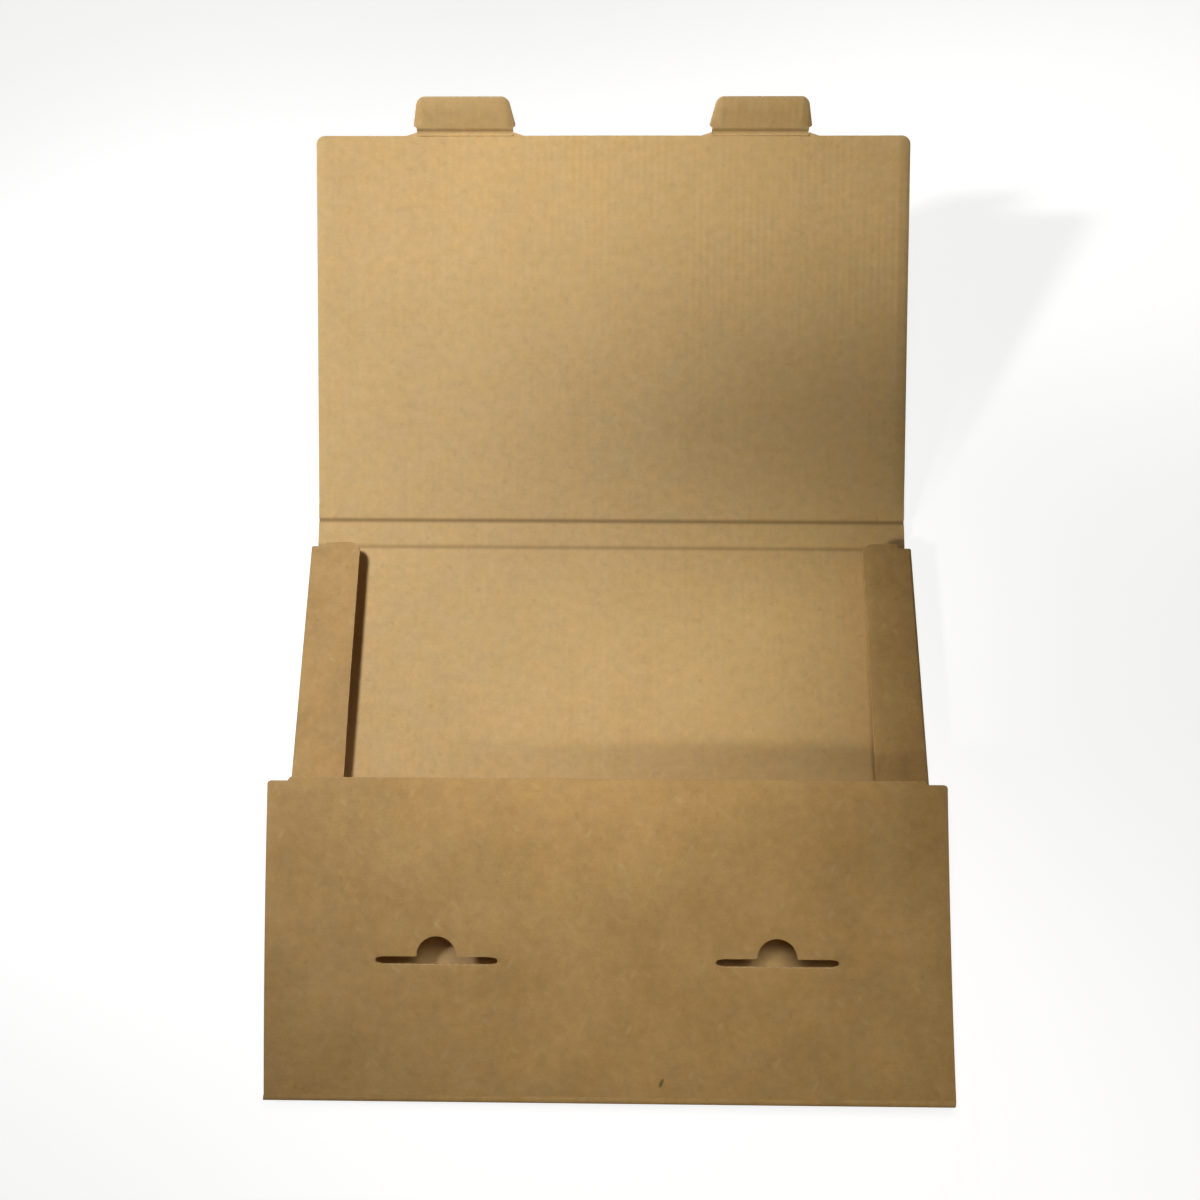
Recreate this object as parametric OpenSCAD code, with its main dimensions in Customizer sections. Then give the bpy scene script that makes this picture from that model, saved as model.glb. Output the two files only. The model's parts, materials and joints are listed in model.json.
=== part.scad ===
// Folding gift box in kraft corrugated board, cut and folded from one sheet.
// It lies open on its back: the front wall is towards -Y, the lid towards +Y.
// The origin is the middle of the floor's underside, halfway between the
// front and back creases, and Z points up. All sizes are in millimetres.

/* [Board] */
// Thickness of the corrugated board
board = 1.5; // [1:0.1:2.5]
// Inside radius of a finished fold
fold_radius = 0.4; // [0.2:0.1:1]

/* [Tray] */
// Width across the outer faces of the side walls
tray_width = 275; // [220:1:340]
// Depth from the front crease line to the back crease line
tray_depth = 234; // [200:1:300]
// Height from the table to the top of the side flanges
side_height = 10.5; // [9:0.5:30]
// Width of a side flange, from the outer face of its side wall
flange_width = 23; // [16:1:60]
// Corner radius at the ends of a side flange
flange_corner = 5; // [2:0.5:8]

/* [Front flap] */
// Length of the front flap from its crease
flap_length = 126.5; // [90:0.5:160]
// Corner radius of the front flap
flap_corner = 1.5; // [0.5:0.5:6]
// Angle at which the open front flap stands up from the flanges
flap_angle = 12; // [4:0.5:20]

/* [Lock] */
// Distance of the slits from the front flap's crease
slit_from_crease = 54.5; // [40:0.5:70]
// Distance of each slit and each lock tab from the centre line
lock_from_centre = 68; // [50:0.5:80]
// Width of a lock tab at its widest point
tab_width = 47; // [30:0.5:60]
// Spare room at each end of a slit
slit_end_room = 1; // [0.5:0.1:3]
// Spare room between a lock tab's face and the side of its slit
slit_side_room = 0.85; // [0.6:0.05:2]
// Radius of the half-round thumb notch on a slit
notch_radius = 8; // [5:0.5:12]
// Length of a lock tab from its crease
tab_length = 16; // [10:0.5:22]
// How far the lock tab's neck is set in from its widest point
tab_neck_inset = 1.3; // [0.5:0.1:2]
// How far the lock tab's end is set in from its widest point
tab_end_inset = 3; // [1:0.1:5]
// Height of the widest point above the lock tab's crease
tab_ear_height = 4; // [3:0.1:6]
// Corner radius at the end of a lock tab
tab_corner = 3; // [1:0.5:5]
// Angle at which an open lock tab is bent from the lid
tab_angle = 35; // [10:1:60]

/* [Lid] */
// Angle at which the open back wall stands up from the table
back_wall_angle = 9; // [3:0.5:20]
// Corner radius of the lid
lid_corner = 4; // [1:0.5:12]
// How far the lock tab's crease stands out from the lid's free edge
tab_step = 1.75; // [0.5:0.05:3]
// Length of the slope beside a lock tab that leads up to its crease
tab_step_run = 5; // [2:0.5:8]

/* [Fits] */
// How far the lid, the flap and the end walls are set in from the sides
panel_inset = 0.6; // [0.3:0.1:2]
// Clearance between boards that lie on each other in the closed box
stack_gap = 0.3; // [0.2:0.05:1]
// Clearance around a folding crease
crease_gap = 0.3; // [0.2:0.05:0.8]
// Clearance between a side wall and the upright end walls
end_gap = 0.5; // [0.3:0.1:2]
// How much the ends of a side wall are cut back from its flange
wall_relief = 1.8; // [0.5:0.1:4]
// How far the lock tabs meet the slits behind their middle line
tab_set_back = 0.25; // [0:0.05:0.5]

/* [Hidden] */

inside_kraft = [0.80, 0.67, 0.46];
outside_kraft = [0.64, 0.52, 0.34];

round_steps = 48;
corner_steps = 8;
cut_margin = 1;

half_board = board / 2;
outer_radius = fold_radius + board;
panel_width = tray_width - 2 * panel_inset;
front_y = -tray_depth / 2;
back_y = tray_depth / 2;

// The lid closes over the front flap, and the flap over the side flanges
flap_crease_z = side_height + stack_gap + half_board;
back_wall_height = side_height + 2 * stack_gap + board;
strip_start = half_board + crease_gap;

// The lid reaches the slits, where its lock tabs go in
tab_crease_length = tray_depth - slit_from_crease - tab_set_back;
lid_length = tab_crease_length - tab_step;
lid_angle = 2 * back_wall_angle;
lid_crease_y = back_y + back_wall_height * cos(back_wall_angle);
lid_crease_z = half_board + back_wall_height * sin(back_wall_angle);
tab_crease_y = lid_crease_y + tab_crease_length * cos(lid_angle);
tab_crease_z = lid_crease_z + tab_crease_length * sin(lid_angle);

slit_width = board + 2 * slit_side_room;
slit_length = tab_width + 2 * slit_end_room;
tab_neck_half = tab_width / 2 - tab_neck_inset;
tab_end_half = tab_width / 2 - tab_end_inset;

// Points of an arc of radius r that rounds the corner b between a and c
function corner_arc(a, b, c, r) =
    let (
        to_a = (a - b) / norm(a - b),
        to_c = (c - b) / norm(c - b),
        half = acos(to_a * to_c) / 2,
        start = b + to_a * r / tan(half),
        end = b + to_c * r / tan(half),
        middle = b + (to_a + to_c) / norm(to_a + to_c) * r / sin(half),
        from = atan2(start[1] - middle[1], start[0] - middle[0]),
        to = atan2(end[1] - middle[1], end[0] - middle[0]),
        turn = to - from > 180 ? to - from - 360 : to - from < -180 ? to - from + 360 : to - from
    )
    [for (i = [0 : corner_steps]) middle + r * [cos(from + turn * i / corner_steps),
                                                sin(from + turn * i / corner_steps)]];

// An outline with each corner rounded by its own radius, where 0 stays sharp
function rounded_outline(corners, radii) =
    let (count = len(corners))
    [for (i = [0 : count - 1]) each radii[i] > 0
        ? corner_arc(corners[(i + count - 1) % count], corners[i], corners[(i + 1) % count], radii[i])
        : [corners[i]]];

// A flat panel of board, its middle plane at Z = 0
module board_panel(outline) {
    translate([0, 0, -half_board])
        linear_extrude(board)
            polygon(outline);
}

// The round back of a crease, along X with its axis at the origin
module crease_bead(width) {
    rotate([0, 90, 0])
        cylinder(h = width, r = half_board, center = true, $fn = round_steps);
}

// Quarter of a ring, the section of a folded edge, in the +X +Y quadrant
module fold_section() {
    intersection() {
        difference() {
            circle(r = outer_radius, $fn = round_steps);
            circle(r = fold_radius, $fn = round_steps);
        }
        square(outer_radius);
    }
}

// The tray's section across its width, on the +X side of the floor
module side_section() {
    fold_x = tray_width / 2 - outer_radius;
    translate([fold_x, outer_radius])
        mirror([0, 1])
            fold_section();
    translate([tray_width / 2 - board, outer_radius])
        square([board, side_height - 2 * outer_radius]);
    translate([fold_x, side_height - outer_radius])
        fold_section();
}

// A side wall standing on the floor, with its flange folded inwards, on +X
module side_wall() {
    flange_front = front_y + half_board + end_gap;
    flange_back = back_y - half_board - end_gap;
    wall_length = flange_back - flange_front - 2 * wall_relief;
    translate([0, flange_back - wall_relief, 0])
        rotate([90, 0, 0])
            linear_extrude(wall_length)
                side_section();
    fold_x = tray_width / 2 - outer_radius;
    free_x = tray_width / 2 - flange_width;
    translate([0, 0, side_height - board])
        linear_extrude(board)
            polygon(rounded_outline(
                [[fold_x, flange_front], [fold_x, flange_back], [free_x, flange_back], [free_x, flange_front]],
                [0, 0, flange_corner, flange_corner]));
}

// The floor panel, as wide as the lid at its ends and wider between them
module floor_panel() {
    fold_x = tray_width / 2 - outer_radius;
    floor_front = front_y - half_board + outer_radius;
    wall_front = front_y + half_board + end_gap + wall_relief;
    wall_back = back_y - half_board - end_gap - wall_relief;
    translate([-panel_width / 2, floor_front, 0])
        cube([panel_width, wall_front - floor_front, board]);
    translate([-fold_x, wall_front, 0])
        cube([2 * fold_x, wall_back - wall_front, board]);
    translate([-panel_width / 2, wall_back, 0])
        cube([panel_width, back_y - wall_back, board]);
    translate([0, back_y, half_board])
        crease_bead(panel_width);
}

// The front wall, folded up from the floor, with the front flap's crease on top
module front_wall() {
    fold_y = front_y - half_board + outer_radius;
    translate([-panel_width / 2, fold_y, outer_radius])
        rotate([90, 0, 90])
            linear_extrude(panel_width)
                rotate(180)
                    fold_section();
    translate([-panel_width / 2, front_y - half_board, outer_radius])
        cube([panel_width, board, flap_crease_z - outer_radius]);
    translate([0, front_y, flap_crease_z])
        crease_bead(panel_width);
}

// Floor, front wall and side walls with their flanges, folded from one piece
module tray() {
    color(inside_kraft) {
        floor_panel();
        front_wall();
        side_wall();
        mirror([1, 0, 0])
            side_wall();
    }
}

// The narrow back wall between the tray's crease and the lid's crease
module back_wall() {
    half = panel_width / 2;
    color(inside_kraft)
        translate([0, back_y, half_board])
            rotate([back_wall_angle, 0, 0]) {
                board_panel([[-half, strip_start], [half, strip_start],
                             [half, back_wall_height], [-half, back_wall_height]]);
                translate([0, back_wall_height, 0])
                    crease_bead(panel_width);
            }
}

// The low step on the lid's free edge that carries one lock tab's crease
module tab_seat() {
    foot = tab_neck_half + tab_step_run;
    board_panel([[-foot, lid_length - half_board], [foot, lid_length - half_board], [foot, lid_length],
                 [tab_neck_half, tab_crease_length], [-tab_neck_half, tab_crease_length], [-foot, lid_length]]);
    translate([0, tab_crease_length, 0])
        crease_bead(2 * tab_neck_half);
}

// The lid panel, from its crease to the edge that carries the lock tabs
module lid() {
    half = panel_width / 2;
    color(inside_kraft)
        translate([0, lid_crease_y, lid_crease_z])
            rotate([lid_angle, 0, 0]) {
                board_panel(rounded_outline(
                    [[-half, strip_start], [half, strip_start], [half, lid_length], [-half, lid_length]],
                    [0, 0, lid_corner, lid_corner]));
                for (side = [-1, 1])
                    translate([side * lock_from_centre, 0, 0])
                        tab_seat();
            }
}

// One lock tab, with a neck, an ear on each side and a rounded end
module lock_tab() {
    ear = tab_width / 2;
    board_panel(rounded_outline(
        [[-tab_neck_half, strip_start], [tab_neck_half, strip_start], [ear, tab_ear_height],
         [tab_end_half, tab_length], [-tab_end_half, tab_length], [-ear, tab_ear_height]],
        [0, 0, tab_neck_inset, tab_corner, tab_corner, tab_neck_inset]));
}

// A lock tab in its place on the lid, on the side given by -1 or 1
module placed_lock_tab(side) {
    color(inside_kraft)
        translate([side * lock_from_centre, tab_crease_y, tab_crease_z])
            rotate([lid_angle + tab_angle, 0, 0])
                lock_tab();
}

module left_lock_tab() {
    placed_lock_tab(-1);
}

module right_lock_tab() {
    placed_lock_tab(1);
}

// The cutter for one slit with its thumb notch, centred on the slit
module slit_cutter() {
    end_x = slit_length / 2 - slit_width / 2;
    depth = board + 2 * cut_margin;
    translate([-end_x, -slit_width / 2, -depth / 2])
        cube([2 * end_x, slit_width, depth]);
    for (x = [-end_x, end_x])
        translate([x, 0, 0])
            cylinder(h = depth, d = slit_width, center = true, $fn = round_steps);
    intersection() {
        translate([0, slit_width / 2, 0])
            cylinder(h = depth, r = notch_radius, center = true, $fn = round_steps);
        translate([-notch_radius, 0, -depth / 2])
            cube([2 * notch_radius, notch_radius + slit_width, depth]);
    }
}

// The front flap, with a slit and a thumb notch for each lock tab
module front_flap() {
    half = panel_width / 2;
    color(outside_kraft)
        translate([0, front_y, flap_crease_z])
            rotate([flap_angle, 0, 0])
                difference() {
                    board_panel(rounded_outline(
                        [[-half, strip_start], [half, strip_start], [half, flap_length], [-half, flap_length]],
                        [0, 0, flap_corner, flap_corner]));
                    for (side = [-1, 1])
                        translate([side * lock_from_centre, slit_from_crease, 0])
                            slit_cutter();
                }
}

tray();
back_wall();
lid();
left_lock_tab();
right_lock_tab();
front_flap();
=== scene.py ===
# %% [markdown]
# # A kraft gift box, cut flat and folded
#
# The real box is one sheet of fine corrugated board. A die cuts its outline and presses the
# creases, and then it is folded by hand. This script makes it in the same order: each panel is
# cut flat as a thin sheet, its cut edges are opened to show the fluting, and only then is it
# folded and put in its place. So the grain of the paper follows the flat sheet across the folds
# of the tray, the back wall and the lid. The front flap has a stretch of its own, and its grain
# starts anew at its fold.
#
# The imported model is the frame. It says where each crease lies and which panel moves with which
# body, so the script reads all its places from it.

# %% Load the frame
import json
import math

import bmesh
import bpy
from mathutils import Matrix, Vector


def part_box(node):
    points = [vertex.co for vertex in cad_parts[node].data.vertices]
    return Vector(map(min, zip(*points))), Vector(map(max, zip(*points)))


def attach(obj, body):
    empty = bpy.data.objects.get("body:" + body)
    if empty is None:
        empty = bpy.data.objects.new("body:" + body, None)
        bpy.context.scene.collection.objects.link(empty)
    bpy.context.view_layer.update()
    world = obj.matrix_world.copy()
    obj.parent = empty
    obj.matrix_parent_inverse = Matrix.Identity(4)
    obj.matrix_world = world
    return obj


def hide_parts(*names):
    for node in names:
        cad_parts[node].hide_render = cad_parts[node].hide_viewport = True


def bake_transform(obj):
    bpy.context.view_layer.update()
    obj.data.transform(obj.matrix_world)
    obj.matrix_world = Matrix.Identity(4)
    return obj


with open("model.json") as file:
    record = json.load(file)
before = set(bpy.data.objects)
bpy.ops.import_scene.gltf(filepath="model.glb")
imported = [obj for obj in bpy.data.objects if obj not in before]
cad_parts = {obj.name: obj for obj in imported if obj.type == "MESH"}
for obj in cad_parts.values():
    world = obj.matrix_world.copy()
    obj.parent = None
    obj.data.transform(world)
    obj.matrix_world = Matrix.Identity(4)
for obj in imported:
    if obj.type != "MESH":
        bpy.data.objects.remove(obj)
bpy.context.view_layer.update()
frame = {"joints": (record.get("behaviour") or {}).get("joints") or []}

# %% [markdown]
# Blender works in metres, and a board that is 1.5 mm thick is easier to read in millimetres. One
# short factor turns one into the other. The joints of the frame are the creases that fold, so
# their positions are the lines to which the panels are cut.

# %% Places read from the frame
MM = 0.001

crease_at = {joint["name"]: Vector(joint["pos_m"]) for joint in frame["joints"]}
back_crease = crease_at["back_wall_fold"]
lid_crease = crease_at["lid_fold"]
tab_crease = crease_at["right_tab_fold"]
flap_crease = crease_at["front_flap_fold"]


def direction_between(start, end):
    """The direction from one crease to the next, across the box's width."""
    return Vector((0, end.y - start.y, end.z - start.z)).normalized()


def upright(direction):
    """A direction in the YZ plane, turned a quarter to the side that faces up and forwards."""
    return Vector((0, -direction.z, direction.y))


TO_BACK = Vector((0, 1, 0))
UP = Vector((0, 0, 1))
wall_direction = direction_between(back_crease, lid_crease)
lid_direction = direction_between(lid_crease, tab_crease)

tray_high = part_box("tray")[1]
lid_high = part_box("lid")[1]
board = 2 * (tray_high.z - flap_crease.z)
half_board = board / 2
panel_half = lid_high.x
tray_half = tray_high.x
tray_front = flap_crease.y
tray_back = back_crease.y
back_wall_length = (lid_crease - back_crease).length
tab_crease_length = Vector((0, *(tab_crease - lid_crease).yz)).length
print("board", round(board / MM, 2), "mm, back wall", round(back_wall_length / MM, 1), "mm")

# %% [markdown]
# Some sizes can't be read from the frame's boxes, such as how wide a slit is. They repeat what
# the solids have, so that each new sheet stands exactly where its solid does.

# %% Sizes of the die-cut details
fold_radius = 0.4 * MM
fold_steps = 5
side_height = 10.5 * MM
flange_width = 23 * MM
flange_corner = 5 * MM
flange_step = 4.5 * MM
end_gap = 0.2 * MM
flange_spring = 1.4 * MM
spring_start = 8 * MM
spring_run = 45 * MM
wall_relief = 1.8 * MM
step_slope = 0.6 * MM

flap_length = 126.5 * MM
flap_corner = 1.2 * MM
flap_step_run = 9 * MM
flap_step = 1.5 * MM
flap_angle = math.radians(12)
lid_corner = 4 * MM
tab_step = 1.75 * MM
tab_step_run = 5 * MM
tab_angle = math.radians(35)

lock_from_centre = tab_crease.x
tab_half = 23.5 * MM
tab_length = 14.9 * MM
tab_neck_half = tab_half - 1.3 * MM
tab_end_half = tab_half - 3 * MM
tab_ear_height = 2.7 * MM
tab_corner = 3 * MM
ear_corner = 0.6 * MM

slit_from_crease = 54.5 * MM
slit_half_length = tab_half + 1 * MM
slit_half_width = 1.6 * MM
slit_taper = 2.6 * MM
slit_corner = 1.2 * MM
tip_half = 1.0 * MM
notch_radius = 8 * MM

liner = 0.35 * MM
flute_pitch = 3.28 * MM
flute_depth = 0.9 * MM
flute_paper = 0.13 * MM
crease_half = 2.0 * MM
score_half = 0.95 * MM
worn_edge = 0.28 * MM
grid_step = 6 * MM

# %% [markdown]
# ## The sheet
#
# A panel starts as one flat face with a few corners. Bevelling a corner of a flat face rounds it
# in the plane, which is how a die's corner looks. A hole is a second outline inside the first,
# and `triangle_fill` fills what lies between them. Then straight cuts divide the face into a
# grid, because a face can only bend at its edges.

# %% Cutting a flat outline
INSIDE, OUTSIDE, CUT_EDGE = 0, 1, 2


def outline_face(bm, corners, radii):
    """One flat face through the corners, each rounded by its own radius, where 0 stays sharp."""
    verts = [bm.verts.new((x, y, 0)) for x, y in corners]
    face = bm.faces.new(verts)
    for vert, radius in zip(verts, radii):
        if radius > 0:
            bmesh.ops.bevel(bm, geom=[vert], offset=radius, offset_type="OFFSET", affect="VERTICES",
                            segments=7, profile=0.5, material=-1)
    return face


def cut_sheet(corners, radii, holes=()):
    """A flat sheet with rounded corners. Each hole is a list of corners and a list of radii."""
    bm = bmesh.new()
    outline_face(bm, corners, radii)
    for hole_corners, hole_radii in holes:
        outline_face(bm, hole_corners, hole_radii)
    if holes:
        bmesh.ops.delete(bm, geom=bm.faces[:], context="FACES_ONLY")
        bmesh.ops.triangle_fill(bm, edges=bm.edges[:], use_beauty=True)
    bmesh.ops.recalc_face_normals(bm, faces=bm.faces[:])
    return bm


def cut_lines(bm, axis, places):
    """Divides the sheet's faces along straight lines, at these places on the axis."""
    normal = Vector((1, 0, 0)) if axis == 0 else Vector((0, 1, 0))
    for place in places:
        bmesh.ops.bisect_plane(bm, geom=bm.verts[:] + bm.edges[:] + bm.faces[:], dist=1e-7,
                               plane_co=normal * place, plane_no=normal)


def even_places(low, high, step=grid_step):
    """Places between low and high that are about one step apart, without the two ends."""
    count = max(1, round((high - low) / step))
    return [low + (high - low) * i / count for i in range(1, count)]


# %% [markdown]
# Corrugated board has a thin liner on each face and a waved paper between them. A knife that
# cuts across the flutes leaves the wave open to view, and one that cuts along them leaves a long
# hollow. Extruding the sheet gives it its thickness. Two insets of its rim then leave both
# liners standing and push the middle back, and a waved ribbon stands in the hollow wherever the
# cut runs across the flutes, which is along X.

# %% Giving the sheet its thickness
def thicken(bm):
    """Extrudes the flat sheet to the board's thickness, with Z = 0 in its middle."""
    bmesh.ops.translate(bm, verts=bm.verts[:], vec=(0, 0, -half_board))
    made = bmesh.ops.extrude_face_region(bm, geom=bm.faces[:], use_keep_orig=True)
    top = [item for item in made["geom"] if isinstance(item, bmesh.types.BMVert)]
    bmesh.ops.translate(bm, verts=top, vec=(0, 0, board))
    bmesh.ops.recalc_face_normals(bm, faces=bm.faces[:])


def wear_edges(bm, is_cut):
    """Rounds off the edges of both liners by a hair along every cut, as a worn die leaves them."""
    sharp = [edge for edge in bm.edges
             if len(edge.link_faces) == 2 and edge.calc_face_angle() > math.radians(60)
             and all(is_cut(vert.co) for vert in edge.verts)
             and abs(edge.verts[0].co.z - edge.verts[1].co.z) < 0.1 * MM]
    bmesh.ops.bevel(bm, geom=sharp, offset=worn_edge, offset_type="OFFSET", affect="EDGES",
                    segments=2, profile=0.5, material=-1, clamp_overlap=True)


def name_faces(bm):
    """Gives the two liners and the cut edges their material numbers, while the sheet is flat."""
    for face in bm.faces:
        flat = abs(face.normal.z) > 0.95
        face.material_index = (INSIDE if face.normal.z > 0 else OUTSIDE) if flat else CUT_EDGE
        face.smooth = True
    for edge in bm.edges:
        if len(edge.link_faces) == 2 and edge.calc_face_angle() > math.radians(40):
            edge.smooth = False


def open_rim(bm, is_cut):
    """Sinks the middle of the rim, so that both liners stand out as on a fresh cut."""
    rim = [face for face in bm.faces if abs(face.normal.z) < 0.3 and is_cut(face.calc_center_median())]
    bmesh.ops.inset_region(bm, faces=rim, thickness=liner - worn_edge, depth=0, use_boundary=True,
                           use_even_offset=False)
    bmesh.ops.inset_region(bm, faces=rim, thickness=0.01 * MM, depth=-flute_depth, use_boundary=True,
                           use_even_offset=False)


def add_fluting(bm, x_low, x_high, y_edge, inward):
    """A waved ribbon in the open rim along X. inward is 1 or -1, the way into the board along Y."""
    steps_per_flute = 10
    count = max(2, round((x_high - x_low) / flute_pitch * steps_per_flute))
    made = bmesh.ops.create_grid(bm, x_segments=count, y_segments=1, size=0.5)
    verts = made["verts"]
    depth = flute_depth
    middle = Vector(((x_low + x_high) / 2, y_edge + inward * (depth / 2 + 0.06 * MM), 0))
    bmesh.ops.scale(bm, verts=verts, vec=(x_high - x_low, depth, 1))
    bmesh.ops.translate(bm, verts=verts, vec=middle)
    wave = half_board - liner - flute_paper / 2 - 0.01 * MM
    for vert in verts:
        vert.co.z = wave * math.sin(2 * math.pi * vert.co.x / flute_pitch) - flute_paper / 2
    faces = list({face for vert in verts for face in vert.link_faces})
    thick = bmesh.ops.extrude_face_region(bm, geom=faces, use_keep_orig=True)
    top = [item for item in thick["geom"] if isinstance(item, bmesh.types.BMVert)]
    bmesh.ops.translate(bm, verts=top, vec=(0, 0, flute_paper))
    ribbon = list({face for vert in verts + top for face in vert.link_faces})
    bmesh.ops.recalc_face_normals(bm, faces=ribbon)
    for face in ribbon:
        face.material_index = CUT_EDGE
        face.smooth = True
    for edge in {edge for face in ribbon for edge in face.edges}:
        if len(edge.link_faces) == 2 and edge.calc_face_angle() > math.radians(60):
            edge.smooth = False


# %% [markdown]
# ## Folding and placing
#
# While the sheet is flat, each vertex notes its own place on it in an attribute called `sheet`.
# The paper's pattern reads that attribute later, so it is printed on the board and not on the
# air around it. A fold then wraps everything past a line round a small radius, and the rest of
# the panel swings with it.

# %% Folding, placing and finishing a sheet
def note_sheet_place(bm, offset=(0, 0, 0)):
    """Stores each vertex's place on the flat sheet, in metres, in the attribute called sheet."""
    layer = bm.verts.layers.float_vector.new("sheet")
    shift = Vector(offset)
    for vert in bm.verts:
        vert[layer] = vert.co + shift


def ease(share):
    """A soft start and end for a share that runs from 0 to 1."""
    return share * share * (3 - 2 * share)


def fold_up(point, start, radius):
    """Folds a point (s, z) a quarter turn towards +z, past s = start, round the board's middle."""
    s, z = point
    bend = radius * math.pi / 2
    past = s - start
    if past <= 0:
        return s, z
    if past < bend:
        angle = past / radius
        return start + (radius - z) * math.sin(angle), radius - (radius - z) * math.cos(angle)
    return start + radius - z, radius + past - bend


def local_frame(origin, along, inside):
    """Places a flat sheet: its Y runs along, its Z faces the inside of the box."""
    across = along.cross(inside)
    turn = Matrix((across, along, inside)).transposed().to_4x4()
    return Matrix.Translation(origin) @ turn


def make_piece(name, bm, place=Matrix.Identity(4)):
    """Turns a finished bmesh into an object whose place is in its mesh."""
    bm.transform(place)
    mesh = bpy.data.meshes.new(name)
    bm.to_mesh(mesh)
    bm.free()
    for material in board_materials:
        mesh.materials.append(material)
    piece = bpy.data.objects.new(name, mesh)
    bpy.context.scene.collection.objects.link(piece)
    low, high = (Vector(piece.bound_box[i]) / MM for i in (0, 6))
    size = high - low
    print(f"{name}: {len(mesh.polygons)} faces, {size.x:.1f} x {size.y:.1f} x {size.z:.1f} mm")
    return piece


# %% [markdown]
# ## The paper
#
# Kraft paper is brown because its fibres keep their lignin. Up close it isn't one colour: there
# are cloudy patches where the fibres lie thicker, short light and dark fibres in all directions,
# and a few dark specks. On the inside of fine corrugated board the flutes also show through as
# straight washboard lines, 3.28 mm apart.
#
# One node group makes all of that from the `sheet` attribute and gives out a colour, a height
# and a roughness. The inside, the outside and the cut edge each place it with their own values.

# %% Helpers for node trees
def add_node(tree, kind, label, **settings):
    """Adds one node, with its settings given by name."""
    node = tree.nodes.new(kind)
    node.label = label
    node.name = label
    for key, value in settings.items():
        setattr(node, key, value)
    return node


def join(tree, source, target):
    tree.links.new(source, target)


def math_node(tree, operation, first, second=None, label="math", clamp=False):
    """A Math node. An input may be a number or another node's socket."""
    node = add_node(tree, "ShaderNodeMath", label, operation=operation, use_clamp=clamp)
    for socket, value in zip(node.inputs, (first, second)):
        if value is None:
            continue
        if isinstance(value, (int, float)):
            socket.default_value = value
        else:
            join(tree, value, socket)
    return node.outputs[0]


def smooth_step(tree, value, low, high, label):
    """A soft switch from 0 at low to 1 at high."""
    node = add_node(tree, "ShaderNodeMapRange", label, interpolation_type="SMOOTHSTEP")
    join(tree, value, node.inputs["Value"])
    node.inputs["From Min"].default_value = low
    node.inputs["From Max"].default_value = high
    return node.outputs["Result"]


def mix_colour(tree, factor, first, second, label, blend="MIX"):
    """Mixes two colours. Each may be a colour or a socket."""
    node = add_node(tree, "ShaderNodeMix", label, data_type="RGBA", blend_type=blend)
    for name, value in (("Factor", factor), ("A", first), ("B", second)):
        socket = next(s for s in node.inputs if s.name == name and s.enabled)
        if isinstance(value, (int, float)):
            socket.default_value = value
        elif isinstance(value, (tuple, list)):
            socket.default_value = (*value, 1)
        else:
            join(tree, value, socket)
    return next(s for s in node.outputs if s.enabled)


def drawn_out(tree, vector, label, length, turn):
    """Turns the sheet's coordinates and draws them out along one direction, for fibres."""
    mapping = add_node(tree, "ShaderNodeMapping", label + " direction", vector_type="TEXTURE")
    mapping.inputs["Rotation"].default_value = (0, 0, turn)
    mapping.inputs["Scale"].default_value = (1, length, 1)
    join(tree, vector, mapping.inputs["Vector"])
    return mapping.outputs["Vector"]


def noise(tree, vector, scale, label, detail=2.0, roughness=0.5):
    node = add_node(tree, "ShaderNodeTexNoise", label, noise_dimensions="2D")
    node.inputs["Scale"].default_value = scale
    node.inputs["Detail"].default_value = detail
    node.inputs["Roughness"].default_value = roughness
    join(tree, vector, node.inputs["Vector"])
    return node.outputs["Fac"]


def centred(tree, value, strength, label):
    """Moves a noise from around one half to around zero, and gives it a strength."""
    around_zero = math_node(tree, "SUBTRACT", value, 0.5)
    return math_node(tree, "MULTIPLY", around_zero, strength, label)


def flecks(tree, vector, label, per_metre, length, turn, share, size):
    """Scattered short flecks in one direction. share is how many of the cells have one."""
    cells = add_node(tree, "ShaderNodeTexVoronoi", label, voronoi_dimensions="2D", feature="F1")
    cells.inputs["Scale"].default_value = per_metre
    join(tree, drawn_out(tree, vector, label, length, turn), cells.inputs["Vector"])
    near = smooth_step(tree, cells.outputs["Distance"], size, size * 0.35, label + " shape")
    random = add_node(tree, "ShaderNodeSeparateColor", label + " choice")
    join(tree, cells.outputs["Color"], random.inputs[0])
    chosen = math_node(tree, "LESS_THAN", random.outputs[0], share)
    strength = math_node(tree, "MULTIPLY", chosen, random.outputs[1])
    return math_node(tree, "MULTIPLY", near, strength, label + " mask")


# %% [markdown]
# The scales below are in cycles per metre, because the attribute is in metres. Wide patches use
# 38, which is about 26 mm, the cloudy formation of the paper is about 5 mm, and a fibre is a noise
# of a few tenths of a millimetre that is drawn out several times in one direction. Fibres lie in
# all directions, so the coordinates are turned before they are drawn out.

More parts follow.
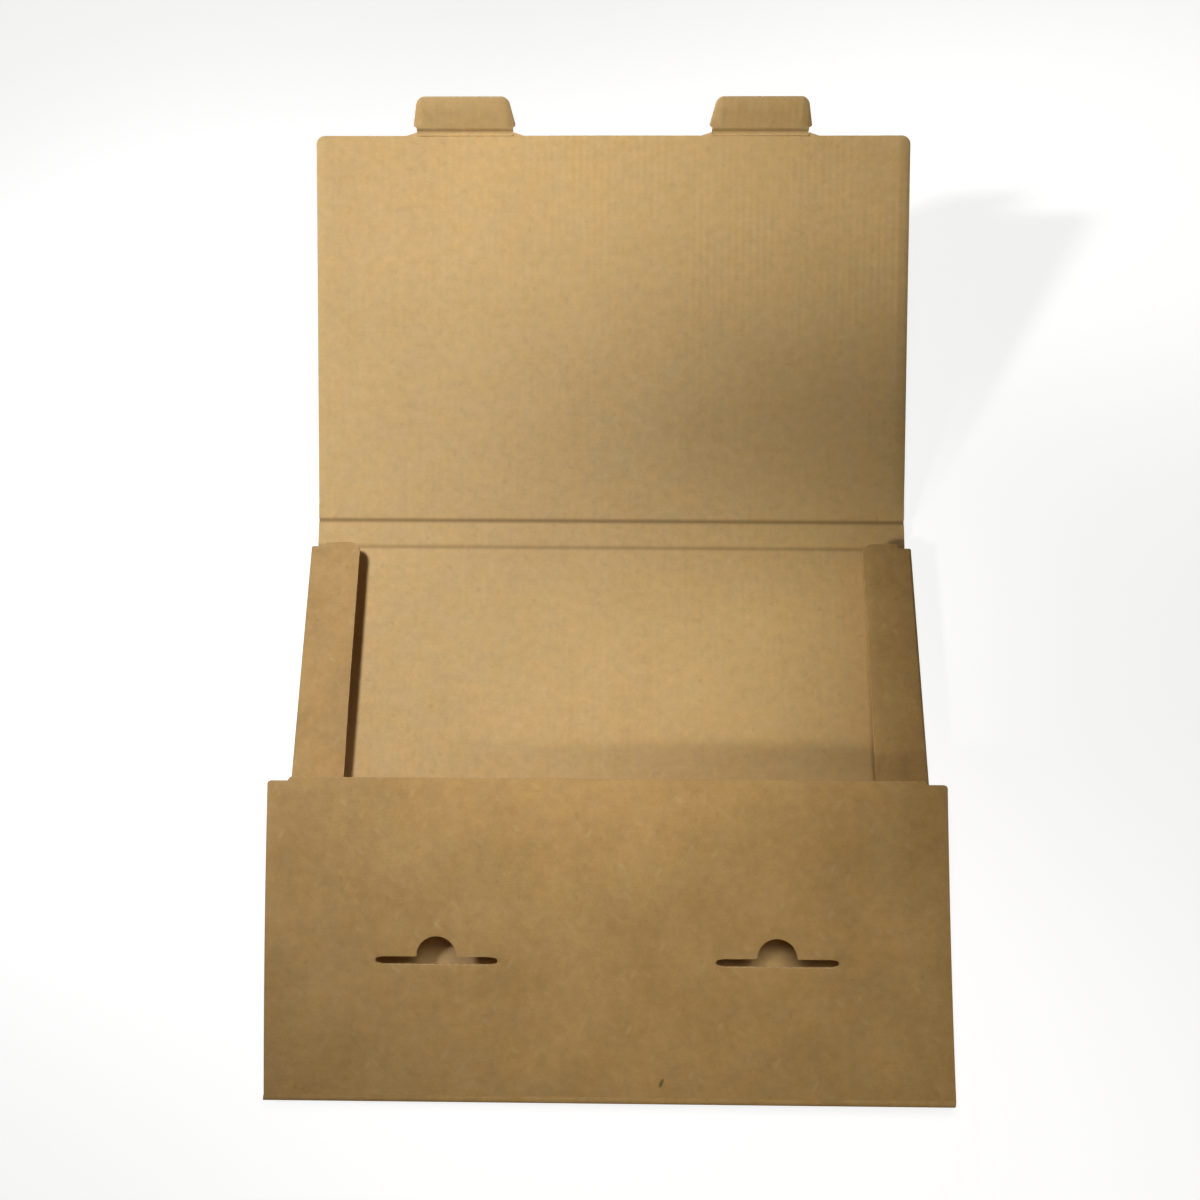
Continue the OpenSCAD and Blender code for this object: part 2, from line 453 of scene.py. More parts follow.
# %% The kraft paper group
def make_kraft_group():
    tree = bpy.data.node_groups.new("kraft_paper", "ShaderNodeTree")
    for name, kind in (("Sheet", "NodeSocketVector"), ("Light", "NodeSocketColor"),
                       ("Dark", "NodeSocketColor"), ("Patches", "NodeSocketFloat"),
                       ("Fibres", "NodeSocketFloat"), ("Flecks", "NodeSocketFloat"),
                       ("Washboard", "NodeSocketFloat")):
        tree.interface.new_socket(name, in_out="INPUT", socket_type=kind)
    for name, kind in (("Color", "NodeSocketColor"), ("Height", "NodeSocketFloat"),
                       ("Roughness", "NodeSocketFloat")):
        tree.interface.new_socket(name, in_out="OUTPUT", socket_type=kind)
    given = add_node(tree, "NodeGroupInput", "given")
    result = add_node(tree, "NodeGroupOutput", "result")
    sheet = given.outputs["Sheet"]

    patches = centred(tree, noise(tree, sheet, 38, "wide patches", detail=3), 1.0, "patches")
    patches = math_node(tree, "MULTIPLY", patches, given.outputs["Patches"], "patch strength")
    formation = noise(tree, sheet, 210, "paper formation", detail=3, roughness=0.62)
    cloud = centred(tree, formation, 1.15, "cloud strength")
    grain = centred(tree, noise(tree, sheet, 1400, "fine grain", detail=1), 0.4, "grain strength")

    fibres = None
    for index, turn in enumerate((0.4, 1.45, 2.5)):
        direction = drawn_out(tree, sheet, f"fibre {index}", 7, turn)
        strand = centred(tree, noise(tree, direction, 1300, f"fibre {index}", detail=0), 1.2, "strand")
        fibres = strand if fibres is None else math_node(tree, "ADD", fibres, strand, "all fibres")
    fibres = math_node(tree, "MULTIPLY", fibres, given.outputs["Fibres"], "fibre strength")

    place = add_node(tree, "ShaderNodeSeparateXYZ", "place on sheet")
    join(tree, sheet, place.inputs[0])
    phase = math_node(tree, "MULTIPLY", place.outputs["X"], 2 * math.pi / flute_pitch, "flute phase")
    ridge = math_node(tree, "SINE", phase, label="washboard wave")
    drift = noise(tree, drawn_out(tree, sheet, "drift", 3, 0), 55, "washboard drift", detail=1)
    ridge_share = math_node(tree, "ADD", smooth_step(tree, drift, 0.35, 0.68, "ridges show"), 0.3)
    ridge = math_node(tree, "MULTIPLY", ridge, ridge_share, "uneven ridges")
    ridge = math_node(tree, "MULTIPLY", ridge, given.outputs["Washboard"], "ridge strength")

    tone = math_node(tree, "ADD", patches, cloud)
    tone = math_node(tree, "ADD", tone, grain)
    tone = math_node(tree, "ADD", tone, fibres)
    tone = math_node(tree, "ADD", tone, math_node(tree, "MULTIPLY", ridge, 0.15))
    tone = math_node(tree, "ADD", tone, 0.5, "tone around the middle", clamp=True)
    colour = mix_colour(tree, tone, given.outputs["Dark"], given.outputs["Light"], "paper colour")

    hue = noise(tree, sheet, 95, "hue patches", detail=3)
    hue_share = smooth_step(tree, hue, 0.3, 0.7, "hue share")
    tint = mix_colour(tree, hue_share, (1.010, 0.998, 0.964), (0.990, 1.002, 1.036), "warm and olive")
    colour = mix_colour(tree, 1.0, colour, tint, "hue of the pulp", "MULTIPLY")

    marks = given.outputs["Flecks"]
    for index, (turn, share) in enumerate(((0.5, 0.45), (2.3, 0.4))):
        mask = flecks(tree, sheet, f"pale fleck {index}", 120, 2.4, turn, share, 0.15)
        mask = math_node(tree, "MULTIPLY", mask, marks)
        colour = mix_colour(tree, mask, colour, (0.62, 0.46, 0.26), "pale fleck")
    for index, (turn, share) in enumerate(((1.2, 0.3), (2.9, 0.25))):
        mask = flecks(tree, sheet, f"dark fleck {index}", 110, 1.7, turn, share, 0.12)
        mask = math_node(tree, "MULTIPLY", mask, marks)
        colour = mix_colour(tree, mask, colour, (0.22, 0.13, 0.045), "dark fleck")
    join(tree, colour, result.inputs["Color"])

    relief = math_node(tree, "ADD", ridge, math_node(tree, "MULTIPLY", cloud, 0.6))
    relief = math_node(tree, "ADD", relief, math_node(tree, "MULTIPLY", grain, 0.5))
    relief = math_node(tree, "ADD", relief, math_node(tree, "MULTIPLY", fibres, 0.5), "relief")
    join(tree, relief, result.inputs["Height"])
    rough = math_node(tree, "ADD", math_node(tree, "MULTIPLY", formation, 0.12), 0.76, "roughness")
    join(tree, rough, result.inputs["Roughness"])
    return tree


kraft_group = make_kraft_group()
# Painted shade: a dark colour mixed into the paper along each crease groove, in place of the groove's
# shadow.
crease_shade_colour = (0.17, 0.105, 0.042)


def kraft_material(name, light, dark, patches, fibres, fleck_share, washboard, relief=0.05 * MM):
    """One paper finish: the kraft group feeding a matt Principled shader, with painted shade mixed in
    along the creases.
    """
    material = bpy.data.materials.new(name)
    material.use_nodes = True
    tree = material.node_tree
    shader = tree.nodes["Principled BSDF"]
    shader.inputs["Specular IOR Level"].default_value = 0.25
    place = add_node(tree, "ShaderNodeAttribute", "sheet place", attribute_name="sheet")
    paper = add_node(tree, "ShaderNodeGroup", "kraft paper", node_tree=kraft_group)
    join(tree, place.outputs["Vector"], paper.inputs["Sheet"])
    paper.inputs["Light"].default_value = (*light, 1)
    paper.inputs["Dark"].default_value = (*dark, 1)
    paper.inputs["Patches"].default_value = patches
    paper.inputs["Fibres"].default_value = fibres
    paper.inputs["Flecks"].default_value = fleck_share
    paper.inputs["Washboard"].default_value = washboard
    bump = add_node(tree, "ShaderNodeBump", "paper relief")
    bump.inputs["Distance"].default_value = relief
    bump.inputs["Strength"].default_value = 1
    join(tree, paper.outputs["Height"], bump.inputs["Height"])
    # Painted shade: along each crease groove the pressed attribute mixes in a dark colour that stands
    # for the groove's shadow.
    pressed = add_node(tree, "ShaderNodeAttribute", "painted crease shade", attribute_name="pressed")
    crease_shaded = mix_colour(tree, pressed.outputs["Fac"], paper.outputs["Color"], crease_shade_colour,
                           "burnished paper")
    join(tree, crease_shaded, shader.inputs["Base Color"])
    join(tree, paper.outputs["Roughness"], shader.inputs["Roughness"])
    join(tree, bump.outputs["Normal"], shader.inputs["Normal"])
    return material


def add_mark(material, place, size, turn, colour):
    """Paints one small slanted mark at a place on the sheet."""
    tree = material.node_tree
    shader = tree.nodes["Principled BSDF"]
    paper_colour = shader.inputs["Base Color"].links[0].from_socket
    spot = add_node(tree, "ShaderNodeMapping", "place of the mark", vector_type="TEXTURE")
    spot.inputs["Location"].default_value = (*place, 0)
    spot.inputs["Rotation"].default_value = (0, 0, turn)
    spot.inputs["Scale"].default_value = (*size, 1)
    join(tree, tree.nodes["sheet place"].outputs["Vector"], spot.inputs["Vector"])
    reach = add_node(tree, "ShaderNodeVectorMath", "reach of the mark", operation="LENGTH")
    join(tree, spot.outputs["Vector"], reach.inputs[0])
    mask = smooth_step(tree, reach.outputs["Value"], 1.0, 0.5, "mark mask")
    marked = mix_colour(tree, mask, paper_colour, colour, "small dark mark")
    join(tree, marked, shader.inputs["Base Color"])


inside_paper = kraft_material("kraft_inside", light=(0.66, 0.44, 0.197), dark=(0.525, 0.348, 0.153),
                              patches=0.45, fibres=0.14, fleck_share=0.14, washboard=0.2)
outside_paper = kraft_material("kraft_outside", light=(0.531, 0.329, 0.130), dark=(0.406, 0.247, 0.093),
                               patches=1.3, fibres=0.15, fleck_share=0.2, washboard=0.06)
cut_paper = kraft_material("cut_edge", light=(0.78, 0.60, 0.38), dark=(0.62, 0.45, 0.26),
                           patches=0.5, fibres=0.5, fleck_share=0.1, washboard=0.0)
board_materials = (inside_paper, outside_paper, cut_paper)
print("materials:", [material.name for material in board_materials])

# %% [markdown]
# The photograph shows one small dark mark near the fold of the front flap. It belongs to the
# outside paper. The flap's places on the sheet overlap the lid's, so the same mark also falls on
# the lid's outside, where the photograph shows none. That is a known fault, and another offset
# for the flap would cure it.

# %% The small dark mark
mark_place = (-21.0 * MM, flap_length + 7.6 * MM)
add_mark(outside_paper, place=mark_place, size=(0.9 * MM, 2.4 * MM), turn=math.radians(27),
         colour=(0.20, 0.125, 0.045))

# %% [markdown]
# ## The tray
#
# The floor, the front wall, the two side walls and their flanges are one sheet. The list of
# corners below is the right half of the blank, from the middle of the front wall round to the
# middle of the back crease, and the left half is its mirror image. The side parts are folded
# twice, up from the floor and in to make the flange, and the front wall is folded once.
# Board springs back a little after a fold, so the free edge of each flange rises towards the back.

# %% The tray's blank
middle_radius = fold_radius + half_board
outer_radius = fold_radius + board
bend_length = middle_radius * math.pi / 2
side_fold_start = tray_half - outer_radius
flange_fold_start = side_fold_start + bend_length + side_height - 2 * outer_radius
flange_start = flange_fold_start + bend_length
flange_end = flange_start + flange_width - outer_radius
front_fold_start = half_board - tray_front - outer_radius
front_wall_end = front_fold_start + bend_length + flap_crease.z - crease_half - outer_radius
floor_back = tray_back - crease_half
flange_half = tray_back - half_board - end_gap
wall_half = flange_half - wall_relief


def tray_half_corners():
    """Corners of the blank's right half with their radii, from the front to the back."""
    return [
        ((panel_half, -front_wall_end), 0),
        ((panel_half, -front_fold_start), 0),
        ((side_fold_start, -front_fold_start), 0),
        ((side_fold_start, -wall_half), 0),
        ((flange_start + flange_step, -wall_half), 0),
        ((flange_start + flange_step + step_slope, -flange_half), 0),
        ((flange_end, -flange_half), flange_corner),
        ((flange_end, flange_half), flange_corner),
        ((flange_start + flange_step + step_slope, flange_half), 0),
        ((flange_start + flange_step, wall_half), 0),
        ((side_fold_start, wall_half), 0),
        ((side_fold_start, floor_back), 0),
    ]


def make_tray():
    right = tray_half_corners()
    left = [((-x, y), radius) for (x, y), radius in reversed(right)]
    corners, radii = zip(*(right + left))
    bm = cut_sheet(corners, radii)
    folds = [side_fold_start + bend_length * i / fold_steps for i in range(fold_steps + 1)]
    folds += [flange_fold_start + bend_length * i / fold_steps for i in range(fold_steps + 1)]
    for side in (-1, 1):
        cut_lines(bm, 0, [side * place for place in folds])
    cut_lines(bm, 0, even_places(-side_fold_start, side_fold_start))
    for side in (-1, 1):
        cut_lines(bm, 0, [side * place for place in even_places(flange_start, flange_end)])
    cut_lines(bm, 1, [-front_fold_start - bend_length * i / fold_steps
                      for i in range(fold_steps + 1)])
    cut_lines(bm, 1, even_places(-front_fold_start, floor_back))
    thicken(bm)

    def is_cut(place):
        at_crease = abs(place.x) < panel_half - 0.1 * MM and (
            place.y > floor_back - 0.1 * MM or place.y < -front_wall_end + 0.1 * MM)
        return not at_crease

    wear_edges(bm, is_cut)
    open_rim(bm, is_cut)
    name_faces(bm)
    for side in (-1, 1):
        for end in (-1, 1):
            step_end = flange_start + flange_step + step_slope
            low, high = sorted((side * step_end, side * (flange_end - flange_corner)))
            add_fluting(bm, low, high, end * flange_half, -end)
            low, high = sorted((side * (side_fold_start + 0.3 * MM), side * flange_fold_start))
            add_fluting(bm, low, high, end * wall_half, -end)
    note_sheet_place(bm)
    for vert in bm.verts:
        free = max(abs(vert.co.x) - flange_start, 0) / (flange_end - flange_start)
        back = min(max((vert.co.y - spring_start) / spring_run, 0), 1)
        vert.co.z -= flange_spring * free * ease(back)
    for vert in bm.verts:
        side = 1 if vert.co.x > 0 else -1
        reach, height = fold_up((abs(vert.co.x), vert.co.z), flange_fold_start, middle_radius)
        if abs(vert.co.x) > side_fold_start and abs(vert.co.y) < flange_half + 0.01 * MM:
            vert.co.x = side * reach
            vert.co.z = height
    for vert in bm.verts:
        side = 1 if vert.co.x > 0 else -1
        on_side = abs(vert.co.y) < flange_half + 0.01 * MM
        if abs(vert.co.x) > side_fold_start and on_side:
            reach, height = fold_up((abs(vert.co.x), vert.co.z), side_fold_start, middle_radius)
            vert.co.x = side * reach
            vert.co.z = height
    for vert in bm.verts:
        if vert.co.y < -front_fold_start and abs(vert.co.x) < panel_half + 0.01 * MM:
            reach, height = fold_up((-vert.co.y, vert.co.z), front_fold_start, middle_radius)
            vert.co.y = -reach
            vert.co.z = height
    return make_piece("tray_sheet", bm, Matrix.Translation((0, 0, half_board)))


tray_sheet = make_tray()
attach(tray_sheet, "tray")
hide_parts("tray")

# %% [markdown]
# ## The flat panels
#
# The back wall, the lid, the lock tabs and the front flap stay flat. Each is cut in its own
# plane with Y running away from its crease, and then stands in the frame by a matrix that says
# which way its Y and its inside face. A real panel is never quite flat, so a soft wave lifts the
# lid and the front flap by a few tenths of a millimetre between their creases, and the light can play
# on them.

# %% A helper for panels that stay flat
def swell(bm, height, low, high, width_half, waves=1.5, shift=0.0):
    """Bends a panel in a soft wave that fades out at its crease, and always to one side."""
    for vert in bm.verts:
        along = min(max((vert.co.y - low) / (high - low), 0), 1)
        across = vert.co.x / width_half
        rise = math.sin(math.pi * along / 2) ** 2
        wave = (math.cos(math.pi * waves * across + shift) * 0.6
                + math.sin(2.3 * along * math.pi + across) * 0.4)
        vert.co.z += height * rise * (wave - 1) / 2


def panel_piece(name, corners, radii, place, body, node, holes=(), crease_y=None, flutes=(),
                shape=None, offset=(0, 0, 0)):
    """Cuts, opens, shapes and places one flat panel, and lets it ride on its body."""
    bm = cut_sheet(corners, radii, holes)
    xs, ys = zip(*corners)
    cut_lines(bm, 0, even_places(min(xs), max(xs)))
    cut_lines(bm, 1, even_places(min(ys), max(ys)))
    thicken(bm)
    crease_ends = crease_y or (min(ys),)

    def is_cut(place):
        return all(abs(place.y - end) > 0.05 * MM for end in crease_ends)

    wear_edges(bm, is_cut)
    open_rim(bm, is_cut)
    name_faces(bm)
    for x_low, x_high, y_edge, inward in flutes:
        add_fluting(bm, x_low, x_high, y_edge, inward)
    note_sheet_place(bm, offset)
    if shape:
        shape(bm)
    piece = make_piece(name, bm, place)
    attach(piece, body)
    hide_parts(node)
    return piece


# %% [markdown]
# The back wall is the narrow strip between the two long creases, and it is a plain rectangle. Both
# of its long sides are creases, so only its two short ends are cut open.

# %% The back wall
panel_piece(
    "back_wall_sheet",
    [(-panel_half, crease_half), (panel_half, crease_half),
     (panel_half, back_wall_length - crease_half), (-panel_half, back_wall_length - crease_half)],
    [0, 0, 0, 0],
    local_frame(back_crease, wall_direction, upright(wall_direction)),
    "back_wall", "back_wall",
    crease_y=(crease_half, back_wall_length - crease_half),
    offset=(0, tray_back, 0))

# %% [markdown]
# The lid's free edge steps out by a hair's breadth where each lock tab's crease lies, with a
# slope on both sides. Its far corners are rounded. The fluting shows along the free edge.

# %% The lid
lid_length = tab_crease_length - tab_step
seat_end = tab_crease_length - crease_half
seat_top = tab_crease_length - 0.2 * MM


def lid_corners():
    """The lid's corners from the left side of its crease, with the two seats of the lock tabs."""
    corners = [((-panel_half, crease_half), 0), ((panel_half, crease_half), 0),
               ((panel_half, lid_length), lid_corner)]
    for side in (1, -1):
        middle = side * lock_from_centre
        corners += [((middle + tab_neck_half + tab_step_run, lid_length), 0),
                    ((middle + tab_neck_half + 0.1 * MM, seat_top), 0),
                    ((middle + tab_neck_half + 0.1 * MM, seat_end), 0),
                    ((middle - tab_neck_half - 0.1 * MM, seat_end), 0),
                    ((middle - tab_neck_half - 0.1 * MM, seat_top), 0),
                    ((middle - tab_neck_half - tab_step_run, lid_length), 0)]
    return corners + [((-panel_half, lid_length), lid_corner)]


def lid_flutes():
    """Stretches of the free edge between the corners and the lock tabs."""
    inner = lock_from_centre - tab_neck_half - tab_step_run
    outer = lock_from_centre + tab_neck_half + tab_step_run
    return [(-inner, inner, lid_length, -1), (outer, panel_half - lid_corner, lid_length, -1),
            (lid_corner - panel_half, -outer, lid_length, -1)]


corners, radii = zip(*lid_corners())
panel_piece(
    "lid_sheet", corners, radii,
    local_frame(lid_crease, lid_direction, upright(lid_direction)),
    "lid", "lid",
    crease_y=(crease_half, seat_end), flutes=lid_flutes(),
    shape=lambda bm: swell(bm, 0.5 * MM, crease_half, lid_length - 25 * MM, panel_half),
    offset=(0, tray_back + back_wall_length, 0))

# %% [markdown]
# A lock tab has a narrow neck, an ear on each side that holds it behind the slit, and a rounded
# end. Both tabs are the same piece in two places.

# %% The lock tabs
tab_turn = Matrix.Rotation(tab_angle, 3, "X")
tab_direction = tab_turn @ lid_direction


def make_lock_tab(name, node, side):
    origin = Vector((side * lock_from_centre, tab_crease.y, tab_crease.z))
    return panel_piece(
        name,
        [(-tab_neck_half, crease_half), (tab_neck_half, crease_half), (tab_half, tab_ear_height),
         (tab_end_half, tab_length), (-tab_end_half, tab_length), (-tab_half, tab_ear_height)],
        [0, 0, ear_corner, tab_corner, tab_corner, ear_corner],
        local_frame(origin, tab_direction, upright(tab_direction)),
        node, node,
        flutes=[(tab_corner - tab_end_half, tab_end_half - tab_corner, tab_length, -1)],
        offset=(side * lock_from_centre, tray_back + back_wall_length + tab_crease_length, 0))


make_lock_tab("left_tab_sheet", "left_lock_tab", -1)
make_lock_tab("right_tab_sheet", "right_lock_tab", 1)

# %% [markdown]
# The front flap shows its outside, because it is folded over. It has a slit for each lock tab
# with a half-round thumb notch on it. A rectangle whose corners are rounded by half its width
# gives the slit's round ends, and the same trick makes the half circle. Its free edge steps back
# a little at both corners. It is folded a shade out of square, so its free edge lies a millimetre
# to the left. The slits follow that only by a few tenths of a millimetre, because the lock tabs
# have to pass them without touching when the lid is closed.

# %% The front flap
flap_direction = Vector((0, math.cos(flap_angle), math.sin(flap_angle)))
flap_inside = -upright(flap_direction)
skew_at_crease = 0.6 * MM
skew_at_edge = -1.0 * MM
slit_shift = 0.2 * MM
slit_lean = 0.1 * MM
slit_side = 0.4 * MM


def slit_outline(middle):
    """One slit with its thumb notch, as corners and radii."""
    low = slit_from_crease - slit_half_width
    high = slit_from_crease + slit_half_width
    notch_top = high + notch_radius
    tip = slit_from_crease
    shoulder = slit_half_length - slit_taper
    corners = [(middle - shoulder, low), (middle + shoulder, low),
               (middle + slit_half_length, tip - tip_half), (middle + slit_half_length, tip + tip_half),
               (middle + shoulder, high), (middle + notch_radius, high),
               (middle + notch_radius, notch_top), (middle - notch_radius, notch_top),
               (middle - notch_radius, high), (middle - shoulder, high),
               (middle - slit_half_length, tip + tip_half), (middle - slit_half_length, tip - tip_half)]
    soft, round_top = slit_corner, notch_radius * 0.98
    tip_round = tip_half * 0.95
    return corners, [soft, soft, tip_round, tip_round, soft, 0, round_top, round_top, 0, soft,
                     tip_round, tip_round]


def slit_flutes(middle):
    """Stretches of the slit's two long sides."""
    low = slit_from_crease - slit_half_width
    high = slit_from_crease + slit_half_width
    end = slit_half_length - slit_taper - slit_corner
    return [(middle - end, middle + end, low, -1), (middle - end, middle - notch_radius, high, 1),
            (middle + notch_radius, middle + end, high, 1)]


def skew_flap(bm):
    """Shifts the panel out of square, and adds the soft wave of a hand-folded panel."""
    for vert in bm.verts:
        along = max(vert.co.y / flap_length, 0)
        middle_share = 4 * along * (1 - along)
        vert.co.y -= (slit_shift + slit_lean * vert.co.x / panel_half) * middle_share
        vert.co.x -= skew_at_crease + (skew_at_edge - skew_at_crease) * along - slit_side * middle_share
    swell(bm, 0.3 * MM, crease_half, flap_length, panel_half, waves=2.2, shift=0.8)


panel_piece(
    "front_flap_sheet",
    [(-panel_half, crease_half), (panel_half, crease_half), (panel_half, flap_length - flap_step),
     (panel_half - flap_step_run + 1 * MM, flap_length - flap_step),
     (panel_half - flap_step_run, flap_length), (flap_step_run - panel_half, flap_length),
     (flap_step_run - panel_half - 1 * MM, flap_length - flap_step),
     (-panel_half, flap_length - flap_step)],
    [0, 0, flap_corner, 0, 0, 0, 0, flap_corner],
    local_frame(flap_crease, flap_direction, flap_inside),
    "front_flap", "front_flap",
    holes=[slit_outline(-lock_from_centre), slit_outline(lock_from_centre)],
    flutes=[(flap_step_run - panel_half, panel_half - flap_step_run, flap_length, -1),
            *slit_flutes(-lock_from_centre), *slit_flutes(lock_from_centre)],
    shape=skew_flap,
    offset=(0, flap_length, 0))

# %% [markdown]
# ## The creases that move
#
# A crease is a line that a blunt rule has pressed into the board. It crushes the flutes, so the
# board is thinner there and folds on that line. The groove's shade is painted: the attribute
# `pressed` mixes a dark colour into the paper along it. Each crease is a strip of the sheet
# between two panels.

# %% Crease strips
def crease_strip(name, half_width, origin, along, inside, rest_angle, node_offset,
                 score_depth=0.38 * MM, crease_shade=0.3, skew=0.0):
    """A pressed strip round one crease, turned by rest_angle from the first panel to the second."""
    bm = bmesh.new()
    across_count = max(4, round(2 * half_width / grid_step))
    bmesh.ops.create_grid(bm, x_segments=across_count, y_segments=20, size=0.5)
    bmesh.ops.scale(bm, verts=bm.verts[:], vec=(2 * half_width, 2 * crease_half, 1))
    thicken(bm)
    name_faces(bm)
    note_sheet_place(bm, node_offset)
    # The pressed attribute holds painted shade, deepest in the middle of the groove.
    pressed = bm.verts.layers.float.new("pressed")
    for vert in bm.verts:
        s, z = vert.co.y, vert.co.z
        if z > 0:
            groove = math.exp(-(s / score_half) ** 2)
            z -= score_depth * groove
            vert[pressed] = crease_shade * groove
        share = min(max((s + crease_half) / (2 * crease_half), 0), 1)
        angle = rest_angle * ease(share)
        vert.co.x += skew * share
        vert.co.y = s * math.cos(angle) - z * math.sin(angle)
        vert.co.z = s * math.sin(angle) + z * math.cos(angle)
    piece = make_piece(name, bm, local_frame(origin, along, inside))
    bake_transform(piece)
    return piece


# Each crease below gets painted shade along its groove, darker on the back and lid creases.
crease_strip("back_crease_strip", panel_half, back_crease, TO_BACK, UP,
             TO_BACK.angle(wall_direction), (0, tray_back, 0),
             crease_shade=0.4)
crease_strip("lid_crease_strip", panel_half, lid_crease, wall_direction, upright(wall_direction),
             wall_direction.angle(lid_direction),
             (0, tray_back + back_wall_length, 0), score_depth=0.55 * MM, crease_shade=0.62)
crease_strip("flap_crease_strip", panel_half, flap_crease, UP, TO_BACK,
             UP.angle(flap_direction), (0, tray_front, 0),
             skew=-skew_at_crease)
for side, word in ((-1, "left"), (1, "right")):
    crease_strip(f"{word}_tab_crease_strip", tab_neck_half,
                 Vector((side * lock_from_centre, tab_crease.y, tab_crease.z)),
                 lid_direction, upright(lid_direction), tab_angle,
                 (side * lock_from_centre, tray_back + back_wall_length + tab_crease_length, 0))

# %% [markdown]
# ## The room
#
# The box lies on a plain pale floor. The floor is white to the camera, and a part of what the
# camera sees is still the real light on it, so the soft shadow round the box stays. Every other
# ray sees a plain light grey floor, which sends a natural amount of light back to the box.

# %% Floor and world
def make_floor():
    bm = bmesh.new()
    bmesh.ops.create_grid(bm, x_segments=1, y_segments=1, size=3)
    mesh = bpy.data.meshes.new("floor")
    bm.to_mesh(mesh)
    bm.free()
    floor = bpy.data.objects.new("floor", mesh)
    floor.location.z = -0.0002
    bpy.context.scene.collection.objects.link(floor)
    material = bpy.data.materials.new("floor")
    material.use_nodes = True
    tree = material.node_tree
    tree.nodes.clear()
    plain = add_node(tree, "ShaderNodeBsdfDiffuse", "plain floor")
    plain.inputs["Color"].default_value = (0.8, 0.8, 0.8, 1)
    shaded = add_node(tree, "ShaderNodeBsdfDiffuse", "shadow part")
    shaded.inputs["Color"].default_value = (0.3, 0.3, 0.3, 1)
    white = add_node(tree, "ShaderNodeEmission", "white part")
    white.inputs["Strength"].default_value = 0.86
    both = add_node(tree, "ShaderNodeAddShader", "white with shadow")
    rays = add_node(tree, "ShaderNodeLightPath", "rays")
    seen = math_node(tree, "MAXIMUM", rays.outputs["Is Camera Ray"], rays.outputs["Is Glossy Ray"])
    seen = math_node(tree, "MAXIMUM", seen, rays.outputs["Is Transmission Ray"])
    choose = add_node(tree, "ShaderNodeMixShader", "by ray")
    output = add_node(tree, "ShaderNodeOutputMaterial", "output")
    join(tree, shaded.outputs[0], both.inputs[0])
    join(tree, white.outputs[0], both.inputs[1])
    join(tree, seen, choose.inputs[0])
    join(tree, plain.outputs[0], choose.inputs[1])
    join(tree, both.outputs[0], choose.inputs[2])
    join(tree, choose.outputs[0], output.inputs["Surface"])
    mesh.materials.append(material)


def make_world(fill):
    """Soft light from all round the room, strongest near the horizon and weak overhead."""
    world = bpy.data.worlds.new("room")
    world.use_nodes = True
    bpy.context.scene.world = world
    tree = world.node_tree
    tree.nodes.clear()
    sky = add_node(tree, "ShaderNodeTexCoord", "direction")
    parts = add_node(tree, "ShaderNodeSeparateXYZ", "parts of the direction")
    join(tree, sky.outputs["Generated"], parts.inputs[0])
    overhead = smooth_step(tree, parts.outputs["Z"], 0.35, 0.75, "overhead")
    strength = math_node(tree, "MULTIPLY_ADD", overhead, -0.92 * fill, label="weaker overhead")
    strength.node.inputs[2].default_value = fill
    soft = add_node(tree, "ShaderNodeBackground", "soft fill")
    soft.inputs["Color"].default_value = (1.05, 1.0, 0.78, 1)
    join(tree, strength, soft.inputs["Strength"])
    white = add_node(tree, "ShaderNodeBackground", "white room")
    white.inputs["Color"].default_value = (1, 1, 1, 1)
    white.inputs["Strength"].default_value = 1
    rays = add_node(tree, "ShaderNodeLightPath", "rays")
    seen = math_node(tree, "MAXIMUM", rays.outputs["Is Camera Ray"],
                     rays.outputs["Is Transmission Ray"])
    choose = add_node(tree, "ShaderNodeMixShader", "by ray")
    output = add_node(tree, "ShaderNodeOutputWorld", "output")
    join(tree, seen, choose.inputs[0])
    join(tree, soft.outputs[0], choose.inputs[1])
    join(tree, white.outputs[0], choose.inputs[2])
    join(tree, choose.outputs[0], output.inputs["Surface"])


make_floor()
make_world(fill=0.21)

# %% [markdown]
# One lamp can't give the light and shade of the photograph, and four can. How many lamps the room
# really had isn't known: these are fitted to the brightness. The gap beside
# the left flange is dark, so the strong lamps stand on the left. A lit spot lies to the
# right of the left thumb notch's middle, so the main lamp is high up and a little behind, and one
# straight below the right notch comes from a small lamp that hangs over the flap. The shade along
# the mouth of the flap needs a low one in front, and a last one reaches the right part of the lid.
# Each throws a pool of light with a soft rim, which a spot lamp does. The light on the right is
# warmer, because the paper looks yellower there.

# %% The lamps
def aim(lamp, place, target):
    """Stands a lamp at a place and turns it to a target."""
    lamp.location = place
    lamp.rotation_mode = "QUATERNION"
    lamp.rotation_quaternion = (Vector(target) - Vector(place)).to_track_quat("-Z", "Y")
    bpy.context.scene.collection.objects.link(lamp)


def make_spot(name, place, target, pool_angle, power, radius, colour=(1, 1, 1)):
    """A lamp with a soft-rimmed pool of light. A larger radius gives softer shadows."""
    light = bpy.data.lights.new(name, "SPOT")
    light.energy = power
    light.color = colour
    light.spot_size = 2 * pool_angle
    light.spot_blend = 1
    light.shadow_soft_size = radius
    aim(bpy.data.objects.new(name, light), place, target)


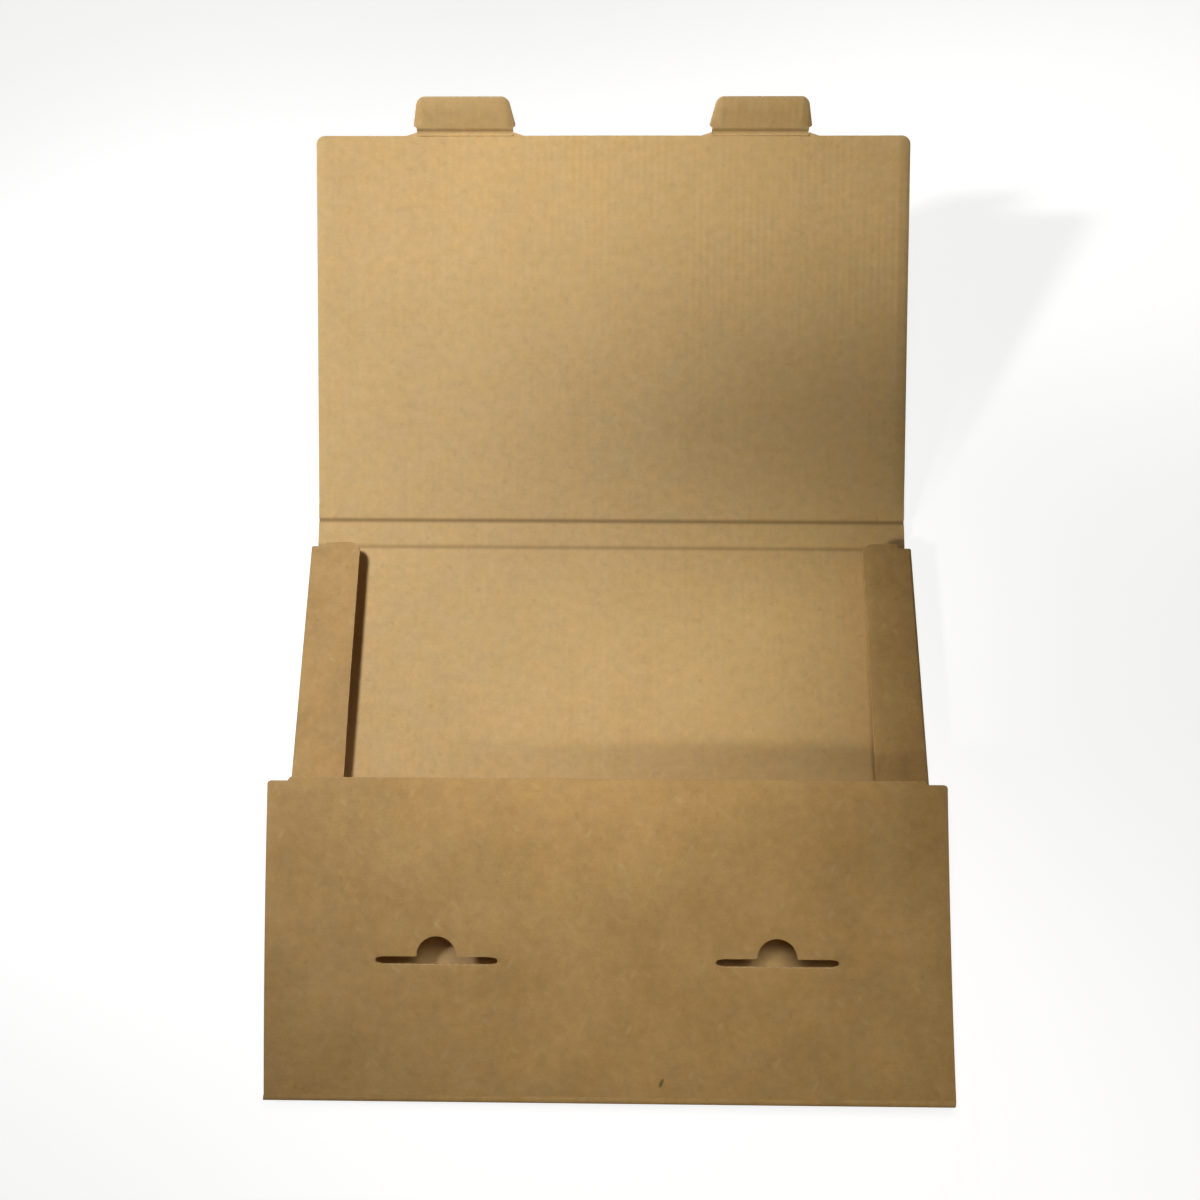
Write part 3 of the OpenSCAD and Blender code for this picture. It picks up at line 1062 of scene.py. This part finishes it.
make_spot("main", place=(-0.3393, 0.2425, 1.1430), target=(-0.1677, 0.1352, 0),
          pool_angle=math.radians(14.57), power=54.3, radius=0.11, colour=(0.99, 1.0, 1.03))
make_spot("mouth", place=(-0.4841, -0.1496, 0.400), target=(0.0819, 0.0801, 0),
          pool_angle=math.radians(5.81), power=18.2, radius=0.06, colour=(1.04, 1.0, 0.82))
make_spot("far_side", place=(-1.2000, 0.2779, 0.7419), target=(0.196, 0.3142, 0),
          pool_angle=math.radians(5.89), power=119.3, radius=0.07, colour=(1.02, 1.0, 0.92))
make_spot("over_flap", place=(0.0422, 0.0485, 0.4172), target=(0.066, -0.172, 0),
          pool_angle=math.radians(34.4), power=3.95, radius=0.08, colour=(1.03, 1.0, 0.9))

# %% [markdown]
# ## The camera
#
# The camera looks down on the box from above its front. Its place and tilt come from fitting the
# outline of the box to the photograph. The fit doesn't settle the lens: a longer one, further
# away and over a floor up to 6 percent longer, fits a little better. This is a usual lens.

# %% The camera
camera_height = 0.45055
camera_x = 0.00132
camera_y = -0.03212
camera_down = math.radians(74.57)
camera_swing = math.radians(-2.74)
camera_roll = math.radians(-2.35)
focal_length_px = 1012
photo_width_px = 1200


def make_camera():
    data = bpy.data.cameras.new("camera")
    data.sensor_width = 36
    data.lens = 36 * focal_length_px / photo_width_px
    camera = bpy.data.objects.new("camera", data)
    forward = Vector((math.sin(camera_swing) * math.cos(camera_down),
                      math.cos(camera_swing) * math.cos(camera_down), -math.sin(camera_down)))
    right = Vector((math.cos(camera_swing), -math.sin(camera_swing), 0))
    up = right.cross(forward)
    roll = Matrix.Rotation(-camera_roll, 3, forward)
    right, up = roll @ right, roll @ up
    turn = Matrix((right, up, -forward)).transposed().to_4x4()
    camera.matrix_world = Matrix.Translation((camera_x, camera_y, camera_height)) @ turn
    data.clip_start = 0.01
    data.clip_end = 20
    bpy.context.scene.collection.objects.link(camera)
    bpy.context.scene.camera = camera


make_camera()
bpy.context.scene.view_settings.view_transform = "Standard"
